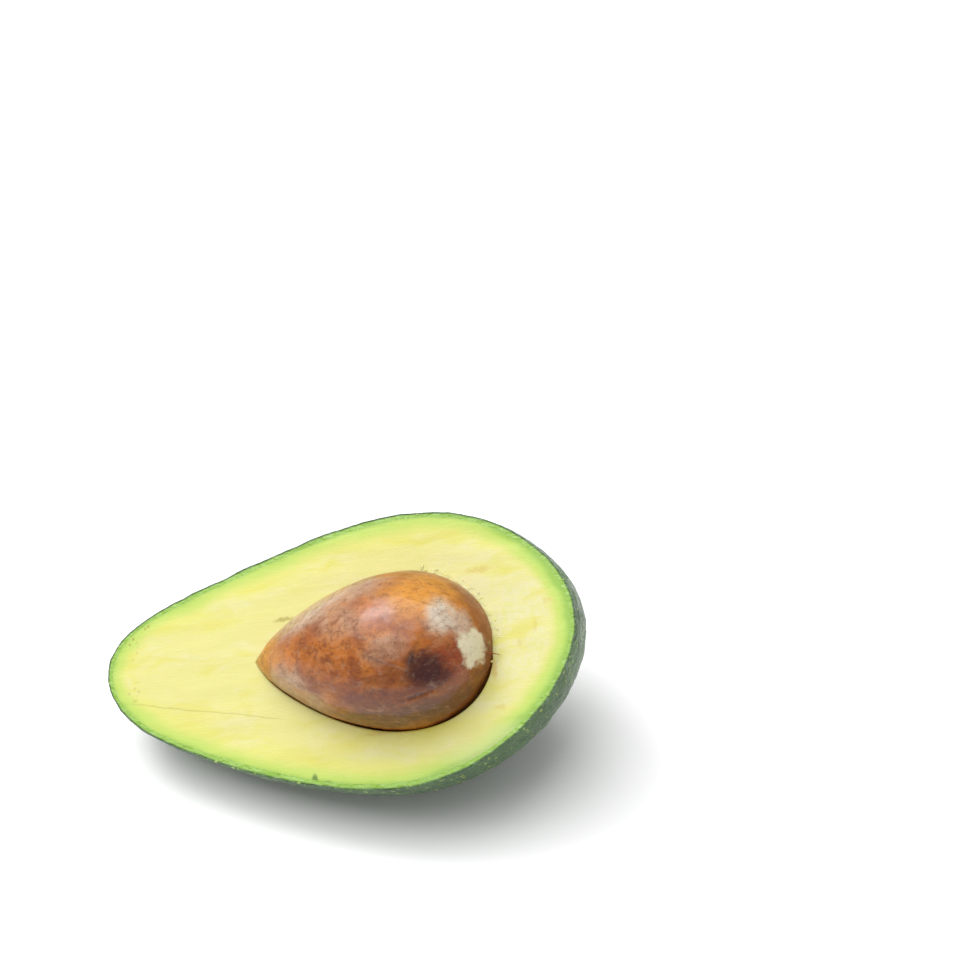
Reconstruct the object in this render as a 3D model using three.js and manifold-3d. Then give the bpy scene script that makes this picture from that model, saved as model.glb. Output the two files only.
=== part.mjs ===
// Half of an avocado, cut lengthwise, with its seed still in it. It lies on its round back, tipped
// a little down to the neck and to one side, on a small flat spot. Millimetres, +Z up. The origin
// is the middle of the flat spot, and +X runs along the fruit to its blossom end.

import * as THREE from 'three';
import { mergeVertices } from 'three/addons/utils/BufferGeometryUtils.js';
import Module from 'manifold-3d';

const wasm = await Module();
wasm.setup();

// The fruit is drawn in a frame of its own: U along the fruit from the stem end to the blossom
// end, V across it, and W out of the cut face, with W = 0 on the cut. An angle theta runs from 0
// at the stem end to pi at the blossom end, and phi runs round the fruit.

// The whole fruit that the half was cut from.
const fruitLength = 120;
const girth = { mean: 30.3, taper: -6.1, waist: -0.5, shoulder: 1.9 };
const sway = { bow: 1.4, lean: 0.15 };
const axisBelowCut = 3.4;

// The peel, and the gap left between pieces that touch.
const peelThickness = 1;
const touchGap = 0.3;

// The pebbled skin: low bumps on a slow swell, both raised from the plain form.
const pebbleHeight = 0.45;
const pebblesAround = 20;
const pebblesAlong = 14;
const swellHeight = 0.4;

// The seed, a drop with its point to the neck, sunk to its middle.
const seedStart = -19.4;
const seedEnd = 39.6;
const seedGirth = { mean: 17.3, taper: -5.9, waist: -0.8 };
const seedAside = -1.2;
const seedTurn = THREE.MathUtils.degToRad(-2.7);
const seedFacetDepth = 0.35;

// The dry end of the stalk, left in a dimple at the neck, under the cut.
const buttonRadius = 2.8;
const buttonLength = 4.5;
const buttonStandout = 1.4;
const buttonAside = 1;
const buttonBelowCut = 8;
const dimpleRadius = 5.5;
const dimpleDepth = 1.4;

// How it rests.
const neckDown = THREE.MathUtils.degToRad(12);
const farEdgeUp = THREE.MathUtils.degToRad(30);
const flatSpotDepth = 0.7;

// Facets round and along each form.
const skinFacets = [84, 56];
const liningFacets = [36, 26];
const seedFacets = [36, 24];
const buttonFacets = 16;

const material = (color, roughness) =>
  new THREE.MeshStandardMaterial({ color, roughness, metalness: 0 });

const peelMaterial = material(0x3f6a2b, 0.5);
const fleshMaterial = material(0xe9e084, 0.62);
const seedMaterial = material(0x9a5a2c, 0.42);
const stalkMaterial = material(0x5d4436, 0.85);

// The plain form.

function skinRadius(theta) {
  const series = girth.mean + girth.taper * Math.cos(theta)
    + girth.waist * Math.cos(2 * theta) + girth.shoulder * Math.cos(3 * theta);
  return Math.sin(theta) * series;
}

function skinCentre(theta) {
  return sway.bow * Math.cos(2 * theta) + sway.lean * Math.cos(3 * theta);
}

// How far the skin dips at a point of the neck, round the stalk.
function stalkDimple(u, v, w) {
  const away = Math.hypot(v - buttonAside, w + buttonBelowCut) / dimpleRadius;
  if (u > 0 || away >= 1) return 0;
  return dimpleDepth * (1 - away * away) ** 2;
}

// A point of the fruit's form, a given depth under its plain skin.
function formPoint(theta, phi, depth) {
  const radius = skinRadius(theta) - depth * Math.sin(theta);
  const point = new THREE.Vector3(
    -(fruitLength / 2 - depth) * Math.cos(theta),
    skinCentre(theta) + radius * Math.cos(phi),
    radius * Math.sin(phi) - axisBelowCut,
  );
  point.x += stalkDimple(point.x, point.y, point.z);
  return point;
}

// The height of the pebbles and the swell over the plain skin, faded out at both ends.
function relief(theta, phi) {
  const along = pebblesAlong * theta + 1.3 * Math.sin(3 * phi);
  const around = pebblesAround * phi + 1.7 * Math.sin(5 * theta);
  const pebble = 0.5 + 0.5 * Math.sin(along) * Math.sin(around);
  const swell = 0.5 + 0.5 * Math.sin(3 * phi + 4 * theta) * Math.cos(5 * theta - 2 * phi);
  return Math.sin(theta) ** 2 * (pebbleHeight * pebble + swellHeight * swell);
}

function skinPoint(theta, phi) {
  return formPoint(theta, phi, -relief(theta, phi));
}

// A point of the seed's form, a given distance outside its skin.
function seedPoint(theta, phi, outside, facetDepth) {
  const series = seedGirth.mean + seedGirth.taper * Math.cos(theta)
    + seedGirth.waist * Math.cos(2 * theta);
  const facet = 0.5 + 0.5 * Math.sin(3 * phi + 2 * theta) * Math.sin(4 * theta + phi);
  const radius = Math.sin(theta) * (series + outside - facetDepth * facet);
  const middle = (seedStart + seedEnd) / 2;
  const along = -((seedEnd - seedStart) / 2 + outside) * Math.cos(theta);
  const across = radius * Math.cos(phi);
  return new THREE.Vector3(
    middle + along * Math.cos(seedTurn) - across * Math.sin(seedTurn),
    seedAside + along * Math.sin(seedTurn) + across * Math.cos(seedTurn),
    radius * Math.sin(phi),
  );
}

// The rest pose: where up lies in the fruit's frame, and the turn that makes it +Z.

const up = new THREE.Vector3(
  Math.sin(neckDown),
  Math.cos(neckDown) * Math.sin(farEdgeUp),
  Math.cos(neckDown) * Math.cos(farEdgeUp),
);
const forward = new THREE.Vector3(1, 0, 0).addScaledVector(up, -up.x).normalize();
const sideways = new THREE.Vector3().crossVectors(up, forward);
const turn = new THREE.Matrix4().makeBasis(forward, sideways, up).transpose();

// The lowest point of the plain form, which the flat spot is centred on.
function lowestPoint() {
  const steps = 180;
  let lowest = formPoint(0, 0, 0);
  for (let row = 0; row <= steps; row += 1) {
    for (let column = 0; column < 2 * steps; column += 1) {
      const point = formPoint(row * Math.PI / steps, column * Math.PI / steps, 0);
      if (point.dot(up) < lowest.dot(up)) lowest = point;
    }
  }
  return lowest;
}

const restPoint = lowestPoint().addScaledVector(up, flatSpotDepth);

// Moves a point of the fruit's frame to where it lies at rest, no lower than a floor.
function settle(point, floor = -Infinity) {
  point.sub(restPoint).applyMatrix4(turn);
  point.z = Math.max(point.z, floor);
  return point;
}

// Solids.

function toSolid(geometry) {
  const bare = geometry.clone();
  bare.deleteAttribute('normal');
  bare.deleteAttribute('uv');
  const merged = mergeVertices(bare, 1e-5);
  return new wasm.Manifold(new wasm.Mesh({
    numProp: 3,
    vertProperties: merged.attributes.position.array,
    triVerts: merged.index.array,
  }));
}

// A closed form: a sphere's points, each moved to where pointAt puts its two angles.
function ovalSolid([columns, rows], pointAt, floor) {
  const geometry = new THREE.SphereGeometry(1, columns, rows);
  const position = geometry.attributes.position;
  for (let index = 0; index < position.count; index += 1) {
    const theta = Math.acos(THREE.MathUtils.clamp(position.getY(index), -1, 1));
    const phi = Math.atan2(position.getZ(index), position.getX(index));
    const placed = settle(pointAt(theta, phi), floor);
    position.setXYZ(index, placed.x, placed.y, placed.z);
  }
  return toSolid(geometry);
}

// Everything on the open side of the cut.
function cutAwaySide() {
  const reach = 2 * fruitLength;
  const geometry = new THREE.BoxGeometry(reach, reach, reach);
  geometry.translate(0, 0, reach / 2);
  const position = geometry.attributes.position;
  for (let index = 0; index < position.count; index += 1) {
    const placed = settle(new THREE.Vector3().fromBufferAttribute(position, index));
    position.setXYZ(index, placed.x, placed.y, placed.z);
  }
  return toSolid(geometry);
}

const cutAway = cutAwaySide();

function peelSolid() {
  const outside = ovalSolid(skinFacets, skinPoint, 0);
  const inside = ovalSolid(
    liningFacets,
    (theta, phi) => formPoint(theta, phi, peelThickness),
    peelThickness,
  );
  return outside.subtract(inside).subtract(cutAway);
}

function fleshSolid() {
  const depth = peelThickness + touchGap;
  const outside = ovalSolid(liningFacets, (theta, phi) => formPoint(theta, phi, depth), depth);
  const seedBed = ovalSolid(seedFacets, (theta, phi) => seedPoint(theta, phi, touchGap, 0));
  return outside.subtract(cutAway).subtract(seedBed);
}

function seedSolid() {
  return ovalSolid(seedFacets, (theta, phi) => seedPoint(theta, phi, 0, seedFacetDepth));
}

// A short round stub with a domed, slightly hollow end, cut to the dimple that it sits in.
function stalkButtonSolid() {
  const rim = 0.35 * buttonRadius;
  const profile = [
    [0, 0],
    [buttonRadius, 0],
    [buttonRadius, buttonLength - rim],
    [buttonRadius - 0.3 * rim, buttonLength - 0.3 * rim],
    [buttonRadius - rim, buttonLength],
    [0, buttonLength - 0.4 * rim],
  ].map(([x, y]) => new THREE.Vector2(x, y));
  const geometry = new THREE.LatheGeometry(profile, buttonFacets);
  geometry.rotateZ(Math.PI / 2);
  geometry.translate(
    buttonLength - fruitLength / 2 - buttonStandout,
    buttonAside,
    -buttonBelowCut,
  );
  const position = geometry.attributes.position;
  for (let index = 0; index < position.count; index += 1) {
    const placed = settle(new THREE.Vector3().fromBufferAttribute(position, index));
    position.setXYZ(index, placed.x, placed.y, placed.z);
  }
  const body = ovalSolid(liningFacets, (theta, phi) => formPoint(theta, phi, -touchGap));
  return toSolid(geometry).subtract(body);
}

// The assembly.

const group = new THREE.Group();

function addPiece(name, solid, finish) {
  const { vertProperties, triVerts } = solid.getMesh();
  const geometry = new THREE.BufferGeometry();
  geometry.setAttribute('position', new THREE.BufferAttribute(vertProperties, 3));
  geometry.setIndex(new THREE.BufferAttribute(triVerts, 1));
  geometry.computeVertexNormals();
  const mesh = new THREE.Mesh(geometry, finish);
  mesh.name = name;
  group.add(mesh);
}

addPiece('peel', peelSolid(), peelMaterial);
addPiece('flesh', fleshSolid(), fleshMaterial);
addPiece('seed', seedSolid(), seedMaterial);
addPiece('stalk_button', stalkButtonSolid(), stalkMaterial);

export default group;
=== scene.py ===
"""Half of an avocado, cut lengthwise, with its seed still in it: the peel, the flesh with its cut
face, the seed, the dry end of the stalk and the crumbs of flesh that the knife left by the seed."""

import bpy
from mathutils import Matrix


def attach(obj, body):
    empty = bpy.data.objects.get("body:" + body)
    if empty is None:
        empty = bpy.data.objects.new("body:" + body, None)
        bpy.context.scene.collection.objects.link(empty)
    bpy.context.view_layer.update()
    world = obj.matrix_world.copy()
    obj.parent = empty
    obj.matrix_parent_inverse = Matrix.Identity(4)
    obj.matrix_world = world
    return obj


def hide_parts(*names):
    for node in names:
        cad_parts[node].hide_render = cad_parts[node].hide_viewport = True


bl_info = {
    "name": "Avocado Half",
    "version": (1, 0, 0),
    "blender": (4, 5, 0),
    "location": "View3D > Sidebar > Avocado",
    "description": "Builds a cut avocado half with its seed round its packed solids",
    "category": "Object",
}

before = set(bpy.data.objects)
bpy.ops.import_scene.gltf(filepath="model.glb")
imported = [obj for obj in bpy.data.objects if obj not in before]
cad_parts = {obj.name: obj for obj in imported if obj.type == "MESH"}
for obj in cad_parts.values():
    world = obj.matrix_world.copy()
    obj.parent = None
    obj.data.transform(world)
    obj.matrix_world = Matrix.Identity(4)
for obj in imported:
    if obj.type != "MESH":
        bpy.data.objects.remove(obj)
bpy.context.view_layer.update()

import random
from math import acos, asin, atan2, cos, exp, hypot, pi, radians, sin

import bmesh
import bpy
from bpy.props import FloatProperty, FloatVectorProperty, IntProperty, PointerProperty
from mathutils import Matrix, Vector, noise
from mathutils.geometry import intersect_point_line
from mathutils.kdtree import KDTree

MM = 0.001
QUARTER = pi / 2

# The lights are brighter than white needs, and each colour of the half is darkened by this
# factor, so that the floor stays white but for the shadow close by.
TONE = 0.8

# The colour sockets of a mix node come after those for numbers and vectors.
MIX_FIRST, MIX_SECOND, MIX_RESULT = 6, 7, 2


def number(name, description, default, **kind):
    return FloatProperty(name=name, description=description, default=default, **kind)


def length(name, description, default):
    return number(name, description, default, unit="LENGTH")


def lengths(name, description, *defaults):
    return FloatVectorProperty(
        name=name, description=description, default=defaults, size=len(defaults), unit="LENGTH")


def angle(name, description, degrees):
    return number(name, description, radians(degrees), subtype="ANGLE")


def colour(name, description, *screen):
    """A colour of the half, given as a screen shows it: red, green and blue from 0 to 255."""
    def channel(value):
        value /= 255
        return value / 12.92 if value <= 0.04045 else ((value + 0.055) / 1.055) ** 2.4
    return FloatVectorProperty(
        name=name, description=description, default=[TONE * channel(value) for value in screen],
        size=3, subtype="COLOR", min=0, max=1)


def rise(value, low, high):
    """0 up to low, 1 from high on, and smooth between them."""
    share = min(1.0, max(0.0, (value - low) / (high - low)))
    return share * share * (3 - 2 * share)


def rough(cell, layers):
    """Noise at a place, summed over layers that each have a fineness and a share."""
    return sum(share * noise.noise(cell * fineness) for fineness, share in layers)


class FruitSizes(bpy.types.PropertyGroup):
    """The whole fruit that the half was cut from, and how the half rests."""

    length: length("Length", "From the stem end to the blossom end", 0.120)
    girth: lengths(
        "Girth", "Cosine series of the radius: mean, taper, waist and shoulder",
        0.0303, -0.0061, -0.0005, 0.0019)
    sway: lengths("Sway", "How the fruit bends aside: bow and lean", 0.0014, 0.00015)
    axis_below_cut: length("Axis below cut", "Depth of the fruit's axis under the cut", 0.0034)
    peel: length("Peel", "Thickness of the peel", 0.001)
    neck_down: angle("Neck down", "How far the neck tips down", 12)
    far_edge_up: angle("Far edge up", "How far the far edge of the cut is raised", 30)
    flat_spot: length("Flat spot", "How far the round back is pressed flat", 0.0007)


class PeelLook(bpy.types.PropertyGroup):
    """The skin's relief and colours."""

    facets: IntProperty(name="Facets", description="Facets round the peel", default=620, min=60)
    swell: length("Swell", "Height of the slow swell of the skin", 0.0004)
    pebble: length("Pebble", "Height of the fine pebbles", 0.00042)
    pebble_size: length("Pebble size", "Distance between pebbles", 0.0036)
    deep: colour("Deep green", "Skin in its dark parts", 42, 78, 28)
    shadow: colour("Shadow green", "Fine dark mottling of the skin", 30, 60, 20)
    fresh: colour("Fresh green", "Skin in its light parts", 66, 110, 38)
    specks: colour("Specks", "The raised yellow-green specks", 166, 190, 86)
    scar: colour("Scars", "Old rub marks on the skin", 84, 68, 50)
    bloom: colour("Bloom", "The greyish wax seen at a grazing angle", 206, 220, 212)
    cut: colour("Cut edge", "The peel where the knife went through", 150, 194, 74)


class FleshLook(bpy.types.PropertyGroup):
    """The flesh and its cut face."""

    facets: IntProperty(name="Facets", description="Facets round the cut face", default=480, min=60)
    seed_gap: length("Seed gap", "Gap between the seed and its bed", 0.00012)
    open_gap: length("Open gap", "Extra gap where the seed has come loose", 0.0006)
    rind: colour("Rind", "Flesh right under the peel", 158, 200, 80)
    green: colour("Green", "The green band inside the rind", 196, 222, 102)
    yellow: colour("Yellow", "Flesh inside the green band", 229, 227, 122)
    heart: colour("Heart", "Flesh round the seed", 231, 226, 142)
    cream: colour("Cream", "Pale streaks in the flesh", 234, 228, 176)
    # Also painted shade: the deeper yellow band on the flesh under the seed.
    gold_and_seed_shade: colour("Gold", "Deeper yellow streaks in the flesh", 226, 218, 82)
    vein: colour("Vein", "Cut ends of veins and other small brown marks", 160, 142, 52)
    stain: colour("Stain", "Small orange stains", 216, 188, 92)
    nick: colour("Nick", "Peel dragged into the flesh by the knife", 82, 122, 40)


class SeedLook(bpy.types.PropertyGroup):
    """The seed: a drop with its point to the neck, sunk to its middle."""

    start: length("Start", "Pointed end, along the fruit", -0.0194)
    end: length("End", "Blunt end, along the fruit", 0.0396)
    girth: lengths(
        "Girth", "Cosine series of the radius: mean, taper and waist", 0.0173, -0.0059, -0.0008)
    aside: length("Aside", "How far the seed sits to one side", -0.0012)
    turn: angle("Turn", "How far the seed's point turns aside", -2.7)
    beak: length("Beak", "How far the point stands out of the drop", 0.0011)
    beak_from: angle("Beak from", "Where the drop starts to draw out to its point", 20)
    facet_depth: length("Facet depth", "Depth of the seed's flat places", 0.00035)
    facets: IntProperty(name="Facets", description="Facets round the seed", default=400, min=40)
    orange: colour("Orange", "The coat where it is thin", 200, 116, 28)
    amber: colour("Amber", "The coat where it is thinnest", 230, 158, 54)
    brown: colour("Brown", "The coat in general", 156, 78, 20)
    # Also painted shade: the dark line along the fold and the darker low near side of the blunt
    # end.
    sepia: colour("Sepia", "Blotches in the middle of the coat", 122, 54, 12)
    umber_and_shade: colour("Umber", "The coat in its folds and fibres", 84, 38, 16)
    maroon: colour("Maroon", "The coat where it is bruised", 58, 7, 5)
    rust: colour("Rust", "The coat round the bruise", 150, 62, 26)
    # Partly painted sheen: besides the real film, some pale grey-pink patches stand where the
    # lights shine on the coat.
    blush_and_sheen: colour("Blush", "The grey-pink film on the coat", 204, 172, 140)
    # Painted highlight: a lilac spot where the small back left light shines on the coat.
    lilac_highlight: colour("Lilac", "The film where it is thickest", 186, 138, 136)
    plum: colour("Plum", "The purple-grey band low on the coat", 108, 52, 34)
    tan: colour("Tan", "The coat near the flesh", 106, 62, 26)
    chalk: colour("Chalk", "The dried patch by the blunt end", 222, 208, 186)
    # Partly painted highlight: the pale bare seed is made as bright as its wet shine, though that
    # side is in shade.
    bare: colour("Bare", "The seed where its coat is gone", 246, 234, 198)


class StalkLook(bpy.types.PropertyGroup):
    """The dry end of the stalk, in its dimple at the neck."""

    radius: length("Radius", "Radius of the stalk end", 0.0028)
    length: length("Length", "Length with the part that is sunk in", 0.0045)
    standout: length("Stand-out", "How far it stands past the tip of the neck", 0.0014)
    aside: length("Aside", "How far it sits to one side", 0.001)
    below_cut: length("Below cut", "Depth under the cut", 0.008)
    dimple_radius: length("Dimple radius", "Radius of the dimple round it", 0.0055)
    dimple_depth: length("Dimple depth", "Depth of the dimple round it", 0.0014)
    cork: colour("Cork", "The dry cork", 104, 82, 60)
    dark: colour("Dark", "The cork in its cracks", 40, 29, 24)


class StageLook(bpy.types.PropertyGroup):
    """Camera, light and floor."""

    azimuth: angle("Azimuth", "Camera's place round the fruit, 0 in front", 15.035)
    elevation: angle("Elevation", "Camera's height over the horizon", 44.636)
    roll: angle("Roll", "Turn of the camera about its own axis", -10.179)
    distance: length("Distance", "From the camera to its aim", 0.8)
    aim: lengths("Aim", "Point in the middle of the picture", 0.02725, 0.03381, 0.05808)
    lens: number("Lens", "Focal length in millimetres", 128.14)
    sky: number("Sky", "Strength of the light from all round", 0.46)
    overhead: number("Overhead", "Strength of the large light overhead", 54, unit="POWER")
    back_left: number("Back left", "Strength of the small back left light", 8.5, unit="POWER")
    floor: FloatVectorProperty(
        name="Floor", description="Share of the light that the floor gives back", size=3,
        default=(0.95, 0.95, 0.955), subtype="COLOR")


# Specks of the skin: spacing in millimetres, least and most reach in spacings, and strength.
SPECK_SIZES = (
    (1.5, 0.1, 0.27, 0.95),
    (0.85, -0.1, 0.2, 0.6),
)

# Marks on the cut face: middle and radii in millimetres of the fruit's frame. Ends of veins have
# a strength as well, stains, pale patches and the painted shade under the seed a colour and a
# strength.
VEIN_ENDS = (
    ((-50.4, 13.6, 0), (3.6, 1.9, 4), 0.6),
    ((-53.2, 8.5, 0), (1.6, 3.4, 4), 0.6),
    ((-52.8, -3, 0), (1.5, 3, 4), 0.35),
)
STAINS_AND_SHADE = (
    # Painted shade in part: a deeper yellow band on the flesh under the seed, where the seed's
    # shadow falls.
    ((14, -21.2, 0), (20, 2.8, 4), "gold_and_seed_shade", 0.5),
    ((37, -26, 0), (12, 5, 4), "cream", 0.35),
    ((35, 12, 0), (4.5, 3, 3), "cream", 0.7),
    ((39.4, -8.2, 0), (0.8, 2.4, 3), "stain", 0.7),
    ((-13, 9.9, 0), (2.4, 0.4, 2), "vein", 0.55),
    ((10.5, -20.4, 0), (4, 0.5, 2), "stain", 0.5),
    ((53.5, 6.1, 0), (1.4, 0.5, 2), "stain", 0.35),
    ((50, 0.6, 0), (0.5, 1.2, 2), "stain", 0.35),
    ((46, -3, 0), (0.6, 0.8, 2), "stain", 0.3),
    ((40.5, -17.6, 0), (1.4, 0.6, 2), "stain", 0.45),
    ((36.5, 15.5, 0), (3, 0.7, 2), "stain", 0.4),
)
NICKS = (
    ((-6.4, -29.9, 0), (0.8, 1.7, 2)),
    ((-4.6, -30.6, 0), (2.4, 0.6, 2)),
    ((-8, -31, 0), (1, 0.6, 2)),
)

# A hairline crack: the slope and offset of its line, and the middle and radii of its reach.
CRACK_SLOPE = 0.21
CRACK_OFFSET = 17.1
CRACK_MIDDLE = (-34, -10, 0)
CRACK_REACH = (22, 8, 3)

# Vertex tags of the seed: two parts of its turn about its own length, and the way along it.
SEED_TAGS = ("round_cos", "round_sin", "along")

# Patches of the seed's coat, with a painted highlight and patches of painted sheen and painted
# shade
# among them, laid one over the other: colour, middle and radii in millimetres, and strength.
COAT_PATCHES = (
    ("amber", (27, 8, 13), (10, 7, 7), 0.85),
    ("orange", (2, -4, 15), (10, 4, 5), 0.5),
    ("amber", (-15, 0, 5), (6, 5, 7), 0.55),
    # Painted sheen in part: the pale patch along the upper left flank, where the coat shines.
    ("blush_and_sheen", (-4, 8, 9), (17, 4.8, 7), 1),
    ("blush_and_sheen", (9, 12, 12), (9, 4, 5), 0.6),
    # Painted reflection in part: pale patches on top of the seed, where the lights shine on it.
    ("blush_and_sheen", (8, 3, 17), (7, 4, 4), 0.5),
    # Painted highlight: the lilac spot where the small back left light shines on the top of the
    # seed.
    ("lilac_highlight", (17.8, 4.6, 17.8), (4.4, 3.4, 4), 0.45),
    ("blush_and_sheen", (19.5, -4.8, 18), (5.4, 3, 4), 0.5),
    ("umber_and_shade", (17, -10.8, 15.4), (8, 1.6, 2.6), 0.45),
    ("rust", (33, -8.5, 11.5), (7, 4.5, 5), 0.9),
    ("rust", (38, 6, 1), (3, 6, 6), 0.5),
    ("maroon", (27.8, -9.6, 15), (4, 3.6, 4), 1),
    ("maroon", (30, -12, 12.6), (7, 2.8, 3.4), 0.85),
    ("maroon", (28.2, -10.2, 14.4), (5, 3.6, 4), 0.75),
    ("tan", (13, -18.4, 6.5), (22, 3.6, 5.5), 0.95),
    ("tan", (28, -16, 6), (9, 4, 4), 0.6),
    ("blush_and_sheen", (-10, -7, 7), (9, 4, 4.5), 0.85),
    ("blush_and_sheen", (-2, -12.5, 6.5), (7, 2.4, 4), 0.65),
    ("plum", (0, -10.3, 11.2), (9, 2, 2.6), 0.5),
    ("plum", (16, -14.8, 12.6), (13, 2.4, 2.8), 0.85),
    # Partly painted shade: darker on the low near side of the blunt end, which lies in shadow.
    ("umber_and_shade", (35, -12.5, 2), (8, 7, 5), 0.6),
    # Painted shade: a dark line along the fold in the coat.
    ("umber_and_shade", (25, -15.4, 11.3), (2.8, 0.5, 0.7), 1),
    ("chalk", (32, 2.4, 13.6), (3.4, 4.8, 3.8), 1),
    ("chalk", (35.8, 0.4, 10.2), (2.2, 3.8, 3.2), 0.65),
)


def bearings(turn, sink):
    """Theta and phi of the direction at a turn about W, sunk under the axis."""
    along = cos(sink) * cos(turn)
    across = cos(sink) * sin(turn)
    return acos(max(-1.0, min(1.0, -along))), atan2(-sin(sink), across)


class FruitForm:
    """The fruit's plain form, in its own frame: U along it from the stem end, V across it and W
    out of the cut face. Theta runs from the stem end to the blossom end, phi round the fruit."""

    def __init__(self, scene):
        sizes, stalk = scene.avocado_fruit, scene.avocado_stalk
        self.half_length = sizes.length / 2
        self.girth = tuple(sizes.girth)
        self.sway = tuple(sizes.sway)
        self.axis_below_cut = sizes.axis_below_cut
        self.peel = sizes.peel
        self.stalk_v, self.stalk_w = stalk.aside, -stalk.below_cut
        self.dimple_radius, self.dimple_depth = stalk.dimple_radius, stalk.dimple_depth
        tip, lift = sizes.neck_down, sizes.far_edge_up
        up = Vector((
            sin(tip), cos(tip) * sin(lift), cos(tip) * cos(lift)))
        forward = (Vector((1, 0, 0)) - up.x * up).normalized()
        self.turn = Matrix((forward, up.cross(forward), up))
        self.rest_point = self.lowest_point(up) + sizes.flat_spot * up

    def series(self, theta):
        mean, taper, waist, shoulder = self.girth
        return (mean + taper * cos(theta) + waist * cos(2 * theta)
                + shoulder * cos(3 * theta))

    def dimple(self, u, v, w):
        away = hypot(v - self.stalk_v, w - self.stalk_w) / self.dimple_radius
        if u > 0 or away >= 1:
            return 0
        return self.dimple_depth * (1 - away * away) ** 2

    def point(self, theta, phi, depth):
        """A point at a depth under the plain skin."""
        radius = sin(theta) * (self.series(theta) - depth)
        centre = self.sway[0] * cos(2 * theta) + self.sway[1] * cos(3 * theta)
        u = -(self.half_length - depth) * cos(theta)
        v = centre + radius * cos(phi)
        w = radius * sin(phi) - self.axis_below_cut
        return Vector((u + self.dimple(u, v, w), v, w))

    def lowest_point(self, up, steps=180):
        angles = [pi * step / steps for step in range(2 * steps)]
        grid = (self.point(theta, phi, 0) for theta in angles[:steps + 1] for phi in angles)
        return min(grid, key=up.dot)

    def cut_sink(self, turn, depth):
        """The sink, above the axis and so below zero, at which the form meets the cut."""
        sink = 0.0
        for _ in range(4):
            theta = bearings(turn, sink)[0]
            sink = -asin(self.axis_below_cut / (self.series(theta) - depth))
        return sink

    def rim(self, turn, depth):
        """The form's edge on the cut."""
        point = self.point(*bearings(turn, self.cut_sink(turn, depth)), depth)
        point.z = 0.0
        return point

    def settle(self, point, floor=-1.0):
        """Where a point of the fruit's frame lies at rest, no lower than a floor."""
        placed = self.turn @ (point - self.rest_point)
        placed.z = max(placed.z, floor)
        return placed


class SeedForm:
    """The seed's form, in the fruit's frame."""

    def __init__(self, scene):
        look = scene.avocado_seed
        self.middle = (look.start + look.end) / 2
        self.half_length = (look.end - look.start) / 2
        self.girth = tuple(look.girth)
        self.aside = look.aside
        self.cos, self.sin = cos(look.turn), sin(look.turn)
        self.beak, self.beak_from = look.beak, look.beak_from

    def point(self, theta, phi, outside, facet_depth=0.0):
        mean, taper, waist = self.girth
        series = mean + taper * cos(theta) + waist * cos(2 * theta)
        facet = 0.5 + 0.5 * sin(3 * phi + 2 * theta) * sin(4 * theta + phi)
        radius = sin(theta) * (series + outside - facet_depth * facet)
        along = -(self.half_length + outside) * cos(theta)
        along -= self.beak * max(0.0, 1 - theta / self.beak_from) ** 2
        across = radius * cos(phi)
        return Vector((
            self.middle + along * self.cos - across * self.sin,
            self.aside + along * self.sin + across * self.cos,
            radius * sin(phi)))

    def bed(self, turn, sink, outside):
        """A point of the seed's bed, at a turn about W and sunk under the cut."""
        return self.point(*bearings(turn, sink), outside)


def tag_layers(mesh, names):
    """Gives a mesh's vertices number tags. They are fetched when all are there, because each new
    one moves the others."""
    for name in names:
        mesh.verts.layers.float.new(name)
    return [mesh.verts.layers.float[name] for name in names]


def ring_mesh(facets, stages, tags):
    """A closed skin grown ring by ring from a circle, with both ends drawn together. A stage is a
    number of rings and a function that gives a vertex's place and tags from its turn and its
    share of the way."""
    mesh = bmesh.new()
    turn_layer, *layers = tag_layers(mesh, ("turn", *tags))

    def lay(ring, place, share):
        for vert in ring:
            vert.co, *values = place(vert[turn_layer], share)
            for layer, value in zip(layers, values):
                vert[layer] = value

    bmesh.ops.create_circle(mesh, segments=facets, radius=1.0)
    first = list(mesh.verts)
    edges = list(mesh.edges)
    for vert in first:
        vert[turn_layer] = atan2(vert.co.y, vert.co.x)
    lay(first, stages[0][1], 0.0)
    for count, place in stages:
        for step in range(1, count + 1):
            grown = bmesh.ops.extrude_edge_only(mesh, edges=edges)["geom"]
            ring = [part for part in grown if isinstance(part, bmesh.types.BMVert)]
            edges = [part for part in grown
                     if isinstance(part, bmesh.types.BMEdge) and part.is_boundary]
            lay(ring, place, step / count)
    for end in (first, ring):
        middle = sum((vert.co for vert in end), Vector()) / facets
        bmesh.ops.pointmerge(mesh, verts=end, merge_co=middle)
    return mesh


def to_object(mesh, name, material):
    data = bpy.data.meshes.new(name)
    mesh.to_mesh(data)
    mesh.free()
    data.materials.append(material)
    made = bpy.data.objects.new(name, data)
    bpy.context.scene.collection.objects.link(made)
    return made


def make_piece(mesh, name, material, node=None, sharp=None):
    """Makes a closed mesh a piece of the half, with its faces pointing outwards. Edges over the
    angle called sharp are not smoothed."""
    if mesh.calc_volume(signed=True) < 0:
        bmesh.ops.reverse_faces(mesh, faces=mesh.faces)
    for face in mesh.faces:
        face.smooth = True
    piece = to_object(mesh, name, material)
    if sharp:
        piece.data.set_sharp_from_angle(angle=sharp)
    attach(piece, "root")
    if node:
        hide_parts(node)


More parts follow.
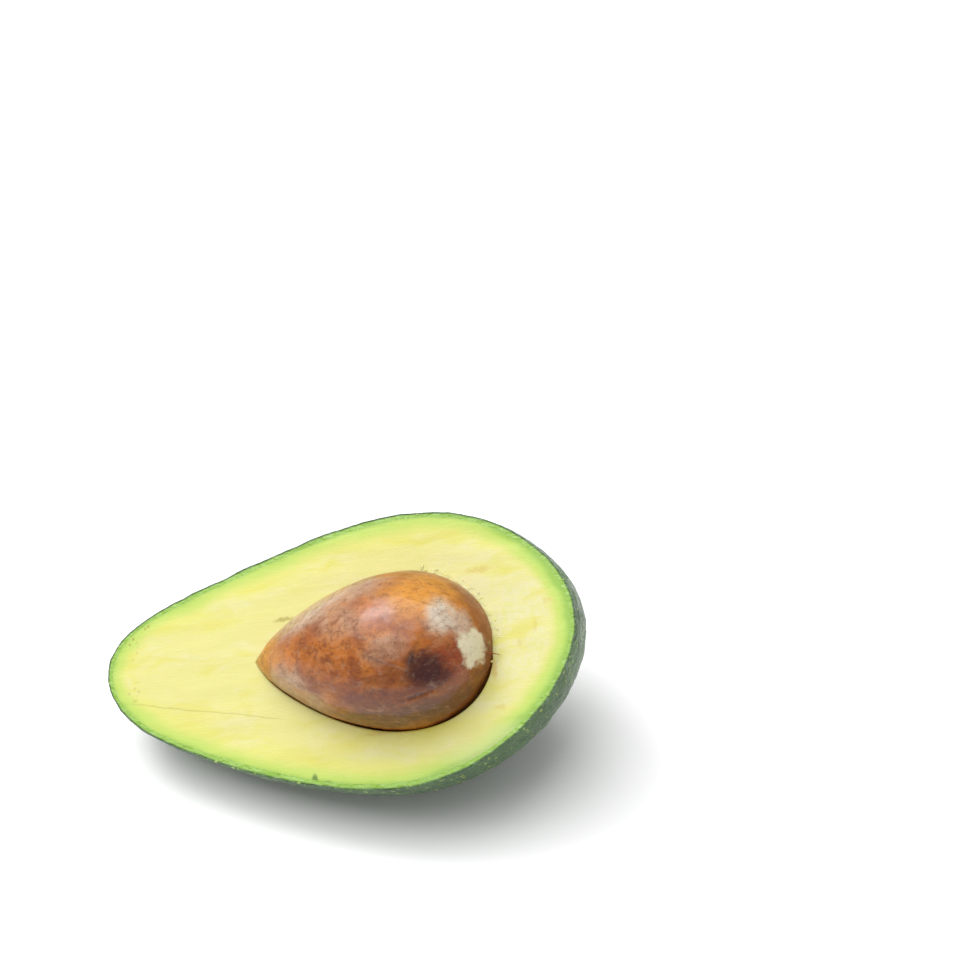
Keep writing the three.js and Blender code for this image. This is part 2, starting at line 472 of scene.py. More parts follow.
class Paint:
    """A material and its nodes. Its place is a point of the fruit's own frame in millimetres."""

    def __init__(self, name, form):
        self.material = bpy.data.materials.new(name)
        self.material.use_nodes = True
        self.nodes = self.material.node_tree.nodes
        self.links = self.material.node_tree.links
        self.shader = self.nodes["Principled BSDF"]
        self.base = None
        mapping = self.nodes.new("ShaderNodeMapping")
        mapping.inputs["Rotation"].default_value = form.turn.transposed().to_euler()
        mapping.inputs["Location"].default_value = form.rest_point / MM
        mapping.inputs["Scale"].default_value = [1 / MM] * 3
        coordinates = self.nodes.new("ShaderNodeTexCoord")
        self.links.new(coordinates.outputs["Object"], mapping.inputs["Vector"])
        self.place = mapping.outputs["Vector"]

    def feed(self, socket, value):
        if isinstance(value, bpy.types.NodeSocket):
            self.links.new(value, socket)
        elif socket.type == "RGBA":
            socket.default_value = (*value, 1)
        else:
            socket.default_value = value

    def math(self, operation, first, second=0.0):
        node = self.nodes.new("ShaderNodeMath")
        node.operation = operation
        self.feed(node.inputs[0], first)
        self.feed(node.inputs[1], second)
        return node.outputs[0]

    def product(self, *shares):
        result = shares[0]
        for share in shares[1:]:
            result = self.math("MULTIPLY", result, share)
        return result

    def rise(self, value, low, high, bottom=0.0, top=1.0):
        """A smooth change of a value between two limits."""
        node = self.nodes.new("ShaderNodeMapRange")
        node.interpolation_type = "SMOOTHSTEP"
        self.feed(node.inputs["Value"], value)
        limits = {"From Min": low, "From Max": high, "To Min": bottom, "To Max": top}
        for name, limit in limits.items():
            self.feed(node.inputs[name], limit)
        return node.outputs["Result"]

    def mix(self, share, first, second):
        node = self.nodes.new("ShaderNodeMix")
        node.data_type = "RGBA"
        self.feed(node.inputs[0], share)
        self.feed(node.inputs[MIX_FIRST], first)
        self.feed(node.inputs[MIX_SECOND], second)
        return node.outputs[MIX_RESULT]

    def lay(self, colour, *shares):
        """Lays a colour over the base, as much as the product of its shares."""
        self.base = self.mix(self.product(*shares), self.base, colour)

    def vector(self, operation, first, second=None):
        node = self.nodes.new("ShaderNodeVectorMath")
        node.operation = operation
        self.feed(node.inputs[0], first)
        if second is not None:
            self.feed(node.inputs[1], second)
        return node.outputs["Value" if operation in ("LENGTH", "DOT_PRODUCT") else "Vector"]

    def stretched(self, scale, place=None):
        """A place, scaled along the fruit."""
        return self.vector("MULTIPLY", place or self.place, (scale, 1, 1))

    def texture(self, kind, size, place):
        """A texture with features of a size in millimetres."""
        node = self.nodes.new(kind)
        self.feed(node.inputs["Vector"], place or self.place)
        node.inputs["Scale"].default_value = 1 / size
        return node

    def cloud(self, size, detail=2.0, roughness=0.5, place=None):
        """Soft noise."""
        node = self.texture("ShaderNodeTexNoise", size, place)
        node.inputs["Detail"].default_value = detail
        node.inputs["Roughness"].default_value = roughness
        return node.outputs["Fac"]

    def warped(self, size, strength, place=None):
        """A place, pushed about by noise of a size and a strength in millimetres."""
        node = self.texture("ShaderNodeTexNoise", size, place)
        push = self.vector("SUBTRACT", node.outputs["Color"], (0.5, 0.5, 0.5))
        push = self.vector("MULTIPLY", push, [2 * strength] * 3)
        return self.vector("ADD", place or self.place, push)

    def spot(self, place, centre, radii, soft):
        """1 inside an ellipsoid in millimetres, falling to 0 across its edge."""
        offset = self.vector("SUBTRACT", place, centre)
        reach = self.vector("LENGTH", self.vector("DIVIDE", offset, radii))
        return self.rise(reach, 1 - soft, 1 + soft, 1.0, 0.0)

    def specks(self, place, size):
        """Distance to the middle of the nearest speck, in sizes, and a number drawn for it."""
        node = self.texture("ShaderNodeTexVoronoi", size, place)
        lot = self.nodes.new("ShaderNodeSeparateColor")
        self.links.new(node.outputs["Color"], lot.inputs["Color"])
        return node.outputs["Distance"], lot.outputs["Red"]

    def tag(self, name):
        node = self.nodes.new("ShaderNodeAttribute")
        node.attribute_name = name
        return node.outputs["Fac"]

    def meridian(self, around, along):
        """The seed's own place, from its tags: streaks in it run from its point to its end."""
        node = self.nodes.new("ShaderNodeCombineXYZ")
        for socket, name, scale in zip(node.inputs, SEED_TAGS, (around, around, along)):
            self.feed(socket, self.product(self.tag(name), scale))
        return node.outputs[0]

    def bump(self, height, distance, strength=1.0, under=None):
        node = self.nodes.new("ShaderNodeBump")
        self.feed(node.inputs["Height"], height)
        node.inputs["Distance"].default_value = distance
        node.inputs["Strength"].default_value = strength
        if under:
            self.links.new(under, node.inputs["Normal"])
        return node.outputs["Normal"]

    def finish(self, **settings):
        """Feeds the base and the named sockets, which have underscores for spaces here."""
        self.feed(self.shader.inputs["Base Color"], self.base)
        for name, value in settings.items():
            self.feed(self.shader.inputs[name.replace("_", " ")], value)
        return self.material


def skin_paint(form, look):
    """Dark green skin with raised yellow-green specks and a few rub marks."""
    paint = Paint("peel_skin", form)
    paint.base = paint.mix(paint.rise(paint.cloud(18, 3), 0.3, 0.7), look.deep, look.fresh)
    mottle = paint.cloud(2.6, 4, 0.6, paint.stretched(0.55))
    paint.lay(look.shadow, paint.rise(mottle, 0.45, 0.7, 0.0, 0.6))
    paint.lay(look.scar, paint.rise(paint.cloud(8, 5, 0.7), 0.66, 0.72, 0.0, 0.7))
    speck = 0.0
    place = paint.stretched(0.72, paint.warped(1.3, 0.35))
    for size, least, most, share in SPECK_SIZES:
        distance, lot = paint.specks(place, size)
        edge = paint.math("SUBTRACT", distance, paint.rise(lot, 0.1, 1.0, least, most))
        spot = paint.product(paint.rise(edge, -0.1, 0.06, 1.0, 0.0), share)
        speck = paint.math("MAXIMUM", spot, speck)
    paint.lay(look.specks, speck, paint.rise(paint.cloud(9, 3), 0.3, 0.6, 0.7, 1.0))
    paint.lay(look.cut, paint.rise(paint.tag("cut"), 0.12, 0.5))
    grain = paint.cloud(0.7, 3, 0.6, paint.stretched(0.6))
    pits = paint.cloud(1.8, 3, 0.55, paint.stretched(0.6))
    normal = paint.bump(pits, 0.6 * MM, 1.0, paint.bump(grain, 0.16 * MM))
    normal = paint.bump(speck, 0.12 * MM, 0.8, normal)
    roughness = paint.rise(paint.cloud(1.6, 3), 0.3, 0.7, 0.26, 0.42)
    return paint.finish(
        Roughness=roughness, Specular_IOR_Level=0.5, Normal=normal,
        Sheen_Weight=0.1, Sheen_Roughness=0.4, Sheen_Tint=look.bloom)


def flesh_paint(form, look):
    """Moist flesh: green under the peel, yellow inside, with soft streaks along the fruit."""
    paint = Paint("cut_flesh", form)
    ragged = paint.rise(paint.cloud(7, 4, 0.6, paint.stretched(0.35)), 0.2, 0.8, -0.9, 0.9)
    along = paint.vector("DOT_PRODUCT", paint.place, (1, -0.5, 0))
    gap = paint.math("ADD", paint.tag("rind_gap"), ragged)
    gap = paint.math("ADD", gap, paint.rise(along, 20, 60, 0.0, -1.3))
    paint.base = paint.mix(paint.rise(gap, 0.0, 2.0), look.rind, look.green)
    paint.lay(look.yellow, paint.rise(gap, 1.4, 5.2))
    paint.lay(look.heart, paint.rise(gap, 4.5, 9.0))
    inner = paint.rise(gap, 2.5, 6.0)
    wavy = paint.warped(12, 3.5)
    streaks = paint.cloud(6, 3, 0.6, paint.stretched(0.25, wavy))
    paint.lay(look.cream, paint.rise(streaks, 0.48, 0.66), inner, 0.55)
    beside = paint.spot(paint.place, (47, 0, 0), (11, 17, 9), 0.6)
    paint.lay(look.cream, beside, inner, 0.8)
    flecks = paint.rise(paint.cloud(1.4, 4, 0.7), 0.45, 0.6, 0.0, 0.5)
    paint.lay(look.yellow, flecks, beside, inner)
    deep = paint.cloud(4.5, 2, 0.5, paint.stretched(0.16, wavy))
    paint.lay(look.gold_and_seed_shade, paint.rise(deep, 0.5, 0.74), inner, 0.65)
    flesh_marks(paint, look)
    grain = paint.cloud(0.4, 3, 0.65)
    strands = paint.cloud(1.8, 3, 0.6, paint.stretched(0.2))
    normal = paint.bump(strands, 0.14 * MM, 0.6, paint.bump(grain, 0.06 * MM, 0.7))
    roughness = paint.rise(paint.cloud(3, 4), 0.3, 0.7, 0.36, 0.56)
    return paint.finish(
        Roughness=roughness, Normal=normal, Specular_IOR_Level=0.4, Subsurface_Weight=0.25,
        Subsurface_Radius=(0.003, 0.0022, 0.0008), Subsurface_Scale=1.0)


def flesh_marks(paint, look):
    """Cut veins by the neck, a hairline crack, stains, pale patches, painted shade under the seed
    and the knife's nicks.
    """
    distance, lot = paint.specks(paint.place, 1.3)
    dots = paint.product(
        paint.rise(distance, 0.16, 0.44, 1.0, 0.0), paint.rise(lot, 0.1, 0.3))
    for centre, radii, share in VEIN_ENDS:
        paint.lay(look.vein, dots, paint.spot(paint.place, centre, radii, 0.35), share)
    wavy = paint.warped(4, 0.5)
    across = paint.vector("DOT_PRODUCT", wavy, (CRACK_SLOPE, 1, 0))
    away = paint.math("ABSOLUTE", paint.math("ADD", across, CRACK_OFFSET))
    reach = paint.spot(wavy, CRACK_MIDDLE, CRACK_REACH, 0.25)
    paint.lay(look.vein, paint.rise(away, 0.05, 0.28, 1.0, 0.0), reach, 0.3)
    wavy = paint.warped(1.2, 0.8)
    for centre, radii, name, share in STAINS_AND_SHADE:
        paint.lay(getattr(look, name), paint.spot(wavy, centre, radii, 0.5), share)
    wavy = paint.warped(1.5, 0.25)
    for centre, radii in NICKS:
        paint.lay(look.nick, paint.spot(wavy, centre, radii, 0.35), 0.85)


def crumb_paint(form, look):
    """Wet crumbs of flesh, pale with yellow in places."""
    paint = Paint("wet_crumbs", form)
    paint.base = paint.mix(paint.rise(paint.cloud(0.8), 0.4, 0.6), look.cream, look.yellow)
    return paint.finish(Roughness=0.3)


def coat_paint(form, look):
    """The seed's papery coat: orange to brown, bruised and filmy in places, and gone in one, with a
    painted highlight, painted sheen and painted shade laid on it.
    """
    paint = Paint("seed_coat", form)
    warped = paint.warped(1.4, 0.5, paint.warped(5, 2.0))
    clouds = paint.rise(paint.cloud(8, 5, 0.62, warped), 0.38, 0.6)
    paint.base = paint.mix(clouds, look.brown, look.orange)
    ragged = paint.rise(paint.cloud(2.2, 5, 0.7), 0.25, 0.6, 0.55, 1.0)
    for name, centre, radii, share in COAT_PATCHES:
        patch = paint.spot(warped, centre, radii, 0.55)
        paint.lay(getattr(look, name), patch, ragged, share)
    blotches = paint.rise(paint.cloud(3.0, 6, 0.7, warped), 0.47, 0.62, 0.0, 0.65)
    paint.lay(look.sepia, blotches, paint.spot(warped, (7, -3, 15), (19, 9, 9), 0.5))
    flecks = paint.cloud(2.3, 5, 0.7, paint.warped(2, 0.8))
    paint.lay(look.blush_and_sheen, paint.rise(flecks, 0.52, 0.7, 0.0, 0.22))
    mottle = paint.cloud(2.0, 5, 0.66, warped)
    paint.lay(look.umber_and_shade, paint.rise(mottle, 0.46, 0.72, 0.0, 0.6), ragged)
    fibres = paint.cloud(0.9, 5, 0.72, paint.meridian(15, 9))
    paint.lay(look.umber_and_shade, paint.rise(fibres, 0.5, 0.72, 0.0, 0.4))
    paint.lay(look.blush_and_sheen, paint.rise(fibres, 0.3, 0.48, 0.14, 0.0))
    distance, lot = paint.specks(paint.place, 1.1)
    dots = paint.rise(distance, 0.1, 0.2, 1.0, 0.0)
    paint.lay(look.umber_and_shade, dots, paint.rise(lot, 0.6, 0.7), 0.45)
    frayed = paint.rise(paint.cloud(1.8, 4, 0.65), 0.25, 0.75, -0.16, 0.16)
    bare = paint.rise(paint.math("ADD", paint.tag("bare"), frayed), 0.22, 0.74, 0.0, 0.95)
    stained = paint.rise(paint.cloud(1.4, 4, 0.7), 0.5, 0.75, 0.0, 0.3)
    # The bare colour holds a painted highlight in part.
    paint.lay(paint.mix(stained, look.bare, look.tan), bare)
    roughness = paint.rise(paint.cloud(2, 4, 0.6), 0.3, 0.7, 0.34, 0.5)
    grain = paint.bump(paint.cloud(0.6, 4, 0.7), 0.05 * MM, 0.6)
    return paint.finish(
        Roughness=roughness, Specular_IOR_Level=0.3, Coat_Weight=0.42, Coat_Roughness=0.12,
        Normal=paint.bump(fibres, 0.1 * MM, 0.7, grain))


def cork_paint(form, look):
    """Dry, cracked cork."""
    paint = Paint("stalk_cork", form)
    cracks = paint.rise(paint.cloud(0.9, 4, 0.7), 0.4, 0.62)
    paint.base = paint.mix(cracks, look.dark, look.cork)
    return paint.finish(Roughness=0.9, Normal=paint.bump(cracks, 0.2 * MM))


class AVOCADO_OT_peel(bpy.types.Operator):
    """Grow the peel: its inner wall, its cut edge and the pebbled skin"""

    bl_idname = "avocado.peel"
    bl_label = "Peel"

    RINGS = (12, 4, 128)
    SHARP = radians(50)
    PEBBLE_STRETCH = 0.55
    PEBBLE_LAYERS = ((1, 0.5), (2.1, 0.35), (4.3, 0.2))

    def execute(self, context):
        form = FruitForm(context.scene)
        look = context.scene.avocado_peel
        peel, swell_height = form.peel, look.swell
        pebble_height, pebble_size = look.pebble, look.pebble_size

        def relief(theta, phi, point):
            """Height of the slow swell and the fine pebbles over the plain skin."""
            swell = 0.5 + 0.5 * sin(3 * phi + 4 * theta) * cos(5 * theta - 2 * phi)
            cell = Vector((point.x * self.PEBBLE_STRETCH, point.y, point.z)) / pebble_size
            pebble = 0.5 + rough(cell, self.PEBBLE_LAYERS)
            return sin(theta) ** 2 * swell_height * swell + pebble_height * pebble

        def lining(turn, share):
            rim = form.cut_sink(turn, peel)
            point = form.point(*bearings(turn, QUARTER + (rim - QUARTER) * share), peel)
            return form.settle(point, peel), 1.0

        def cut_edge(turn, share):
            depth = peel * (1 - share)
            theta, phi = bearings(turn, form.cut_sink(turn, depth))
            raised = share * relief(theta, phi, form.point(theta, phi, 0))
            point = form.point(theta, phi, depth - raised)
            point.z = 0.0
            return form.settle(point), 1 - share

        def skin(turn, share):
            rim = form.cut_sink(turn, 0)
            theta, phi = bearings(turn, rim + (QUARTER - rim) * share)
            raised = relief(theta, phi, form.point(theta, phi, 0))
            return form.settle(form.point(theta, phi, -raised), 0.0), 0.0

        stages = list(zip(self.RINGS, (lining, cut_edge, skin)))
        mesh = ring_mesh(look.facets, stages, ["cut"])
        make_piece(mesh, "pebbled_peel", skin_paint(form, look), "peel", self.SHARP)
        return {"FINISHED"}


class AVOCADO_OT_flesh(bpy.types.Operator):
    """Grow the flesh: the seed's bed, its torn lip, the cut face and the wall under the peel"""

    bl_idname = "avocado.flesh"
    bl_label = "Flesh"

    RINGS = (22, 5, 74, 22)
    SHARP = radians(60)
    RIM_DETAIL = 3
    PEEL_GAP = 0.004 * MM
    BED_TOP = 0.03
    WALL_TOP = 0.01
    LIP = 0.45 * MM
    FACE_FADE = 0.9
    FACE_WAVE = 0.15 * MM
    FACE_WAVE_SIZE = 5 * MM
    FACE_WAVE_STRETCH = 0.35
    TORN_FROM = radians(-20)
    TORN_TO = radians(75)
    TORN_FADE = 0.4
    TORN_REACH = (0.2 * MM, 2.2 * MM)
    TORN_LAYERS = ((1 / 1.5, 1), (1 / 0.7, 0.5))
    TORN_HEIGHT = 0.3 * MM
    TORN_IN = 0.4 * MM
    LOOSE_AT = radians(-35)
    LOOSE_WIDTH = radians(40)

    def execute(self, context):
        form = FruitForm(context.scene)
        seed = SeedForm(context.scene)
        look = context.scene.avocado_flesh
        depth = form.peel + self.PEEL_GAP
        rim_points = look.facets * self.RIM_DETAIL
        rim_tree = KDTree(rim_points)
        for index in range(rim_points):
            rim_tree.insert(form.rim(2 * pi * index / rim_points, 0), index)
        rim_tree.balance()

        def gap(turn):
            loose = 1 - rise(abs(turn - self.LOOSE_AT), 0, self.LOOSE_WIDTH)
            return look.seed_gap + look.open_gap * loose - self.TORN_IN * torn(turn)

        def torn(turn):
            """1 where the knife tore the flesh beside the seed, 0 elsewhere."""
            return (rise(turn, self.TORN_FROM, self.TORN_FROM + self.TORN_FADE)
                    * (1 - rise(turn, self.TORN_TO - self.TORN_FADE, self.TORN_TO)))

        def lip_of(turn):
            return self.LIP * (1 - 0.75 * torn(turn))

        def rind_gap(point):
            """Distance in millimetres from the rim, across the cut."""
            return rim_tree.find(Vector((point.x, point.y, 0)))[2] / MM

        def bed(turn, share):
            sink = QUARTER * (1 - share) + self.BED_TOP * share
            point = seed.bed(turn, sink, gap(turn))
            return form.settle(point, depth), rind_gap(point)

        def bed_edge(turn):
            return seed.bed(turn, 0, gap(turn))

        def lip_round(turn, share):
            edge = bed_edge(turn)
            lip = lip_of(turn)
            out = (form.rim(turn, depth) - edge).normalized()
            bend = QUARTER * share
            point = edge + out * lip * (1 - cos(bend))
            point.z = -lip * (1 - sin(bend)) + face_height(point, turn)
            return form.settle(point), rind_gap(point)

        def face_height(point, turn):
            cell = point / self.FACE_WAVE_SIZE
            wave = noise.noise(Vector((cell.x * self.FACE_WAVE_STRETCH, cell.y, 0.0)))
            to_seed = (point - bed_edge(turn)).length
            near = torn(turn) * (1 - rise(to_seed, *self.TORN_REACH))
            ragged = 0.35 + 0.6 * rough(point / MM, self.TORN_LAYERS)
            return self.FACE_WAVE * wave + self.TORN_HEIGHT * near * ragged

        def face(turn, share):
            start = bed_edge(turn)
            end = form.rim(turn, depth)
            start += (end - start).normalized() * lip_of(turn)
            point = start.lerp(end, share)
            fade = 1 - rise(share, self.FACE_FADE, 1.0)
            point.z = face_height(point, turn) * fade
            return form.settle(point), rind_gap(point)

        def wall(turn, share):
            rim = form.cut_sink(turn, depth) + self.WALL_TOP
            point = form.point(*bearings(turn, rim + (QUARTER - rim) * share), depth)
            return form.settle(point, depth), 0.0

        stages = list(zip(self.RINGS, (bed, lip_round, face, wall)))
        mesh = ring_mesh(look.facets, stages, ["rind_gap"])
        make_piece(mesh, "cut_flesh", flesh_paint(form, look), "flesh", self.SHARP)
        return {"FINISHED"}


class AVOCADO_OT_seed(bpy.types.Operator):
    """Shape the seed, with its facets, ridge, fold and bare patch, and a thread of its coat"""

    bl_idname = "avocado.seed"
    bl_label = "Seed"

    RIDGE_CORNER = Vector((24, -10.3, 16)) * MM
    RIDGES = (
        (Vector((13, -4.8, 18.3)) * MM, Vector((-0.42, -0.9, 0))),
        (Vector((27.2, -3, 17.2)) * MM, Vector((0.92, -0.4, 0))),
    )
    RIDGE_EDGE = (-0.1 * MM, 0.3 * MM)
    RIDGE_DROP = 0.85 * MM
    RIDGE_FOOT = 3.6 * MM
    FOLD = (Vector((22.5, -16, 11.4)) * MM, Vector((28, -14.4, 11)) * MM)
    FOLD_DEPTH = 0.3 * MM
    FOLD_WIDTH = 0.5 * MM
    BARE_AT = Vector((37.6, -4.4, 7.4)) * MM
    BARE_RADIUS = 4.1 * MM
    BARE_LAYERS = ((1 / 3, 1), (1 / 1.2, 0.5))
    COAT = 0.14 * MM
    THREAD_FROM = Vector((38, -5, 4.2)) * MM
    THREAD_RUN = Vector((3.6, -0.6, -3.9)) * MM
    THREAD_ARCH = 0.7 * MM
    THREAD_RADIUS = 0.13 * MM
    THREAD_FACETS = 8
    THREAD_RINGS = 14
    WRINKLE = 0.2 * MM
    WRINKLE_SIZE = 4 * MM
    WRINKLE_STRETCH = 0.4
    WRINKLE_LAYERS = ((1, 0.5), (2.3, 0.3))

    def execute(self, context):
        form = FruitForm(context.scene)
        seed = SeedForm(context.scene)
        look = context.scene.avocado_seed

        def bare(point):
            """1 where the coat is gone, 0 where it is there, with a ragged edge between."""
            ragged = 0.4 * rough(point / MM, self.BARE_LAYERS)
            away = (point - self.BARE_AT).length / self.BARE_RADIUS + ragged
            return 1 - rise(away, 0.3, 1.7)

        def offset(point, line):
            """The way to a point from the nearest point of a line with two ends, and that
            point's share of the line."""
            share = min(1, max(0, intersect_point_line(point, *line)[1]))
            return point - line[0].lerp(line[1], share), share

        def beside(point, end, side):
            """How far the coat drops beside one of the ridge's edges, fading away from it."""
            away, share = offset(point, (end, self.RIDGE_CORNER))
            low = rise(away.dot(side), *self.RIDGE_EDGE) * rise(share, 0.0, 0.5)
            return low * exp(-away.length / self.RIDGE_FOOT)

        def dents(point):
            ridge = max(beside(point, *edge) for edge in self.RIDGES)
            fold = exp(-(offset(point, self.FOLD)[0].length / self.FOLD_WIDTH) ** 2)
            cell = Vector((point.x * self.WRINKLE_STRETCH, point.y, point.z)) / self.WRINKLE_SIZE
            wrinkle = self.WRINKLE * (0.5 + rough(cell, self.WRINKLE_LAYERS))
            return self.RIDGE_DROP * ridge + self.FOLD_DEPTH * fold + wrinkle

        mesh = bmesh.new()
        bmesh.ops.create_uvsphere(
            mesh, u_segments=look.facets, v_segments=look.facets // 2, radius=1.0)
        layers = tag_layers(mesh, ("bare", *SEED_TAGS))
        for vert in mesh.verts:
            theta = acos(max(-1.0, min(1.0, vert.co.z)))
            phi = atan2(vert.co.y, vert.co.x)
            plain = seed.point(theta, phi, 0)
            tags = (bare(plain), cos(phi), sin(phi), theta)
            for layer, value in zip(layers, tags):
                vert[layer] = value
            inward = dents(plain) + self.COAT * rise(tags[0], 0.35, 0.65)
            vert.co = form.settle(seed.point(theta, phi, -inward, look.facet_depth))
        coat = coat_paint(form, look)
        make_piece(mesh, "ripe_seed", coat, "seed")
        self.make_thread(form, coat)
        return {"FINISHED"}

    def make_thread(self, form, coat):
        """A frayed thread of the coat, from the bare patch to the flesh."""
        def thread(turn, share):
            centre = self.THREAD_FROM + share * self.THREAD_RUN
            centre.z += self.THREAD_ARCH * sin(pi * share)
            radius = self.THREAD_RADIUS * max(0.02, sin(pi * share)) ** 0.5
            centre.y += radius * cos(turn)
            centre.z += radius * sin(turn)
            return form.settle(centre), 0.0

        mesh = ring_mesh(self.THREAD_FACETS, [(self.THREAD_RINGS, thread)], ["bare"])
        make_piece(mesh, "coat_thread", coat)


class AVOCADO_OT_crumbs(bpy.types.Operator):
    """Scatter crumbs of flesh along the seed's torn edge"""

    bl_idname = "avocado.crumbs"
    bl_label = "Crumbs"

    COUNT = 90
    ALONG = (radians(-12), radians(68))
    OUT = (-0.3 * MM, 1.5 * MM)
    SIZE = (0.1 * MM, 0.32 * MM)
    LONG = (0.8, 1.9)
    WIDE = (0.6, 1.1)
    HIGH = 0.36
    RAISED = 0.1
    LUMP = 0.25
    LUMP_FINENESS = 1.3
    RANDOM_START = 11

    def execute(self, context):
        form = FruitForm(context.scene)
        seed = SeedForm(context.scene)
        draw = random.Random(self.RANDOM_START)
        mesh = bmesh.new()
        for _ in range(self.COUNT):
            turn = draw.uniform(*self.ALONG)
            edge = seed.bed(turn, 0, draw.uniform(*self.OUT))
            size = draw.uniform(*self.SIZE)
            shape = (draw.uniform(*self.LONG), draw.uniform(*self.WIDE), self.HIGH)
            spin = Matrix.Rotation(draw.uniform(0, pi), 3, "Z")
            made = bmesh.ops.create_icosphere(mesh, subdivisions=2, radius=1.0)["verts"]
            for vert in made:
                lump = noise.noise(vert.co * self.LUMP_FINENESS + edge / MM)
                point = vert.co * (size * (1 + self.LUMP * lump))
                point = spin @ Vector(side * reach for side, reach in zip(point, shape))
                vert.co = form.settle(edge + point + Vector((0, 0, self.RAISED * size)))
        material = crumb_paint(form, context.scene.avocado_flesh)
        make_piece(mesh, "flesh_crumbs", material)
        return {"FINISHED"}


class AVOCADO_OT_stalk(bpy.types.Operator):
    """Spin the dry end of the stalk and wear it rough"""

    bl_idname = "avocado.stalk"
    bl_label = "Stalk end"

    STEPS = 56
    CUTS = 7
    MERGED = 0.001 * MM
    RIM = 0.35
    FOOT = 0.92
    ROUGH = 0.16 * MM
    ROUGH_SIZE = 1.1 * MM
    ROUGH_LAYERS = ((1, 1), (2.2, 0.6))

    def execute(self, context):
        form = FruitForm(context.scene)
        look = context.scene.avocado_stalk
        radius, tall = look.radius, look.length
        rim = self.RIM * radius
        profile = (
            (0, 0),
            (radius * self.FOOT, 0),
            (radius, tall - rim),
            (radius - 0.3 * rim, tall - 0.3 * rim),
            (radius - rim, tall),
            (0, tall - 0.4 * rim),
        )
        mesh = bmesh.new()
        points = [mesh.verts.new((-height, out, 0)) for out, height in profile]
        edges = [mesh.edges.new(pair) for pair in zip(points, points[1:])]
        bmesh.ops.subdivide_edges(mesh, edges=edges, cuts=self.CUTS)
        bmesh.ops.spin(
            mesh, geom=mesh.verts[:] + mesh.edges[:], cent=(0, 0, 0), axis=(1, 0, 0),
            dvec=(0, 0, 0), angle=2 * pi, steps=self.STEPS, use_merge=True)
        bmesh.ops.remove_doubles(mesh, verts=mesh.verts, dist=self.MERGED)
        bmesh.ops.recalc_face_normals(mesh, faces=mesh.faces)
        foot = Vector((
            tall - form.half_length - look.standout, look.aside, -look.below_cut))
        mesh.normal_update()
        for vert in mesh.verts:
            wear = self.ROUGH * rough(vert.co / self.ROUGH_SIZE, self.ROUGH_LAYERS)
            vert.co = form.settle(vert.co + vert.normal * wear + foot)
        make_piece(mesh, "dry_stalk_end", cork_paint(form, look), "stalk_button")
        return {"FINISHED"}


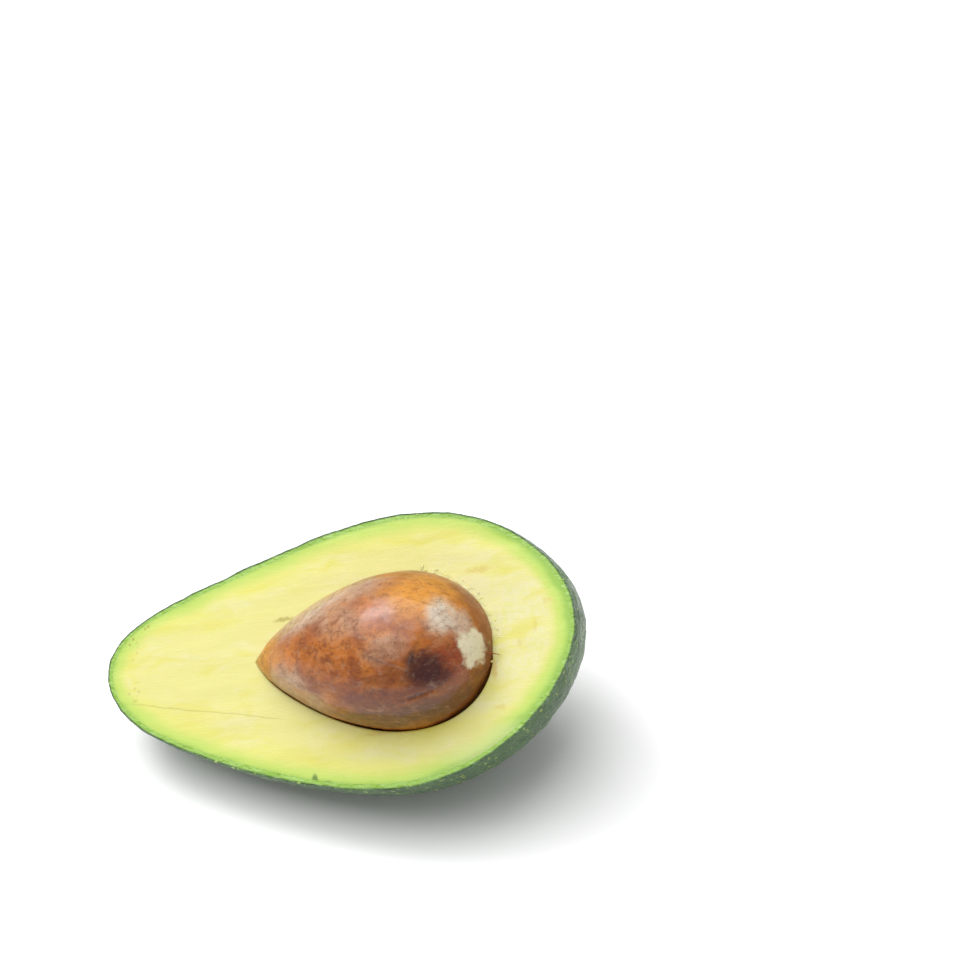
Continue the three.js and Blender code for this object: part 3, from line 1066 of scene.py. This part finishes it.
class AVOCADO_OT_stage(bpy.types.Operator):
    """Set up the pale floor, the light from all round, two soft lights and the camera"""

    bl_idname = "avocado.stage"
    bl_label = "Stage"

    FLOOR_SIDE = 12.0
    LIGHT_DISTANCE = 2.0
    SENSOR_WIDTH = 36

    # Name and side of each soft light, and the direction that it stands in.
    LIGHTS = (("overhead", 2.5, (-0.24, 0.10, 1)), ("back_left", 0.7, (-0.47, 0.29, 0.83)))

    def execute(self, context):
        look = context.scene.avocado_stage
        self.make_floor(look)
        self.make_sky(context.scene, look)
        for name, side, toward in self.LIGHTS:
            self.make_light(name, getattr(look, name), side, Vector(toward).normalized())
        self.make_camera(context.scene, look)
        context.scene.view_settings.view_transform = "Standard"
        context.scene.cycles.use_denoising = True
        return {"FINISHED"}

    def make_floor(self, look):
        mesh = bmesh.new()
        bmesh.ops.create_grid(mesh, x_segments=1, y_segments=1, size=self.FLOOR_SIDE / 2)
        material = bpy.data.materials.new("floor_white")
        material.use_nodes = True
        shader = material.node_tree.nodes["Principled BSDF"]
        shader.inputs["Base Color"].default_value = (*look.floor, 1)
        shader.inputs["Roughness"].default_value = 0.9
        shader.inputs["Specular IOR Level"].default_value = 0.1
        to_object(mesh, "floor", material)

    def make_sky(self, scene, look):
        """Light from all round, which the camera sees as plain white."""
        scene.world = bpy.data.worlds.new("studio")
        scene.world.use_nodes = True
        nodes, links = scene.world.node_tree.nodes, scene.world.node_tree.links
        sky = nodes["Background"]
        sky.inputs["Color"].default_value = (1, 1, 1, 1)
        sky.inputs["Strength"].default_value = look.sky
        white = nodes.new("ShaderNodeBackground")
        white.inputs["Color"].default_value = (1, 1, 1, 1)
        rays = nodes.new("ShaderNodeLightPath")
        mix = nodes.new("ShaderNodeMixShader")
        links.new(rays.outputs["Is Camera Ray"], mix.inputs[0])
        links.new(sky.outputs[0], mix.inputs[1])
        links.new(white.outputs[0], mix.inputs[2])
        links.new(mix.outputs[0], nodes["World Output"].inputs["Surface"])

    def make_light(self, name, strength, side, toward):
        """A square soft light that shines at the origin."""
        light = bpy.data.lights.new(name, "AREA")
        light.shape = "SQUARE"
        light.size = side
        light.energy = strength
        lamp = bpy.data.objects.new(name, light)
        lamp.location = toward * self.LIGHT_DISTANCE
        lamp.rotation_euler = toward.to_track_quat("Z", "Y").to_euler()
        bpy.context.scene.collection.objects.link(lamp)

    def make_camera(self, scene, look):
        camera = bpy.data.objects.new("camera", bpy.data.cameras.new("camera"))
        camera.data.lens = look.lens
        camera.data.sensor_width = self.SENSOR_WIDTH
        level = cos(look.elevation)
        away = Vector((
            level * sin(look.azimuth), -level * cos(look.azimuth),
            sin(look.elevation)))
        pose = (Matrix.Rotation(look.azimuth, 4, "Z")
                @ Matrix.Rotation(QUARTER - look.elevation, 4, "X")
                @ Matrix.Rotation(look.roll, 4, "Z"))
        camera.location = Vector(look.aim) + away * look.distance
        camera.rotation_euler = pose.to_euler()
        scene.collection.objects.link(camera)
        scene.camera = camera


OPERATORS = (
    AVOCADO_OT_peel,
    AVOCADO_OT_flesh,
    AVOCADO_OT_seed,
    AVOCADO_OT_crumbs,
    AVOCADO_OT_stalk,
    AVOCADO_OT_stage,
)


class VIEW3D_PT_avocado(bpy.types.Panel):
    """The sidebar tab that lists the pieces"""

    bl_label = "Avocado Half"
    bl_space_type = "VIEW_3D"
    bl_region_type = "UI"
    bl_category = "Avocado"

    def draw(self, context):
        for operator in OPERATORS:
            self.layout.operator(operator.bl_idname)


SETTINGS = {
    "avocado_fruit": FruitSizes,
    "avocado_peel": PeelLook,
    "avocado_flesh": FleshLook,
    "avocado_seed": SeedLook,
    "avocado_stalk": StalkLook,
    "avocado_stage": StageLook,
}


def register():
    for group in SETTINGS.values():
        bpy.utils.register_class(group)
    for name, group in SETTINGS.items():
        setattr(bpy.types.Scene, name, PointerProperty(type=group))
    for shown in (*OPERATORS, VIEW3D_PT_avocado):
        bpy.utils.register_class(shown)


def unregister():
    for shown in (VIEW3D_PT_avocado, *reversed(OPERATORS)):
        bpy.utils.unregister_class(shown)
    for name, group in SETTINGS.items():
        delattr(bpy.types.Scene, name)
        bpy.utils.unregister_class(group)


def main():
    register()
    bpy.ops.avocado.peel()
    bpy.ops.avocado.flesh()
    bpy.ops.avocado.seed()
    bpy.ops.avocado.crumbs()
    bpy.ops.avocado.stalk()
    bpy.ops.avocado.stage()


if __name__ == "__main__":
    main()
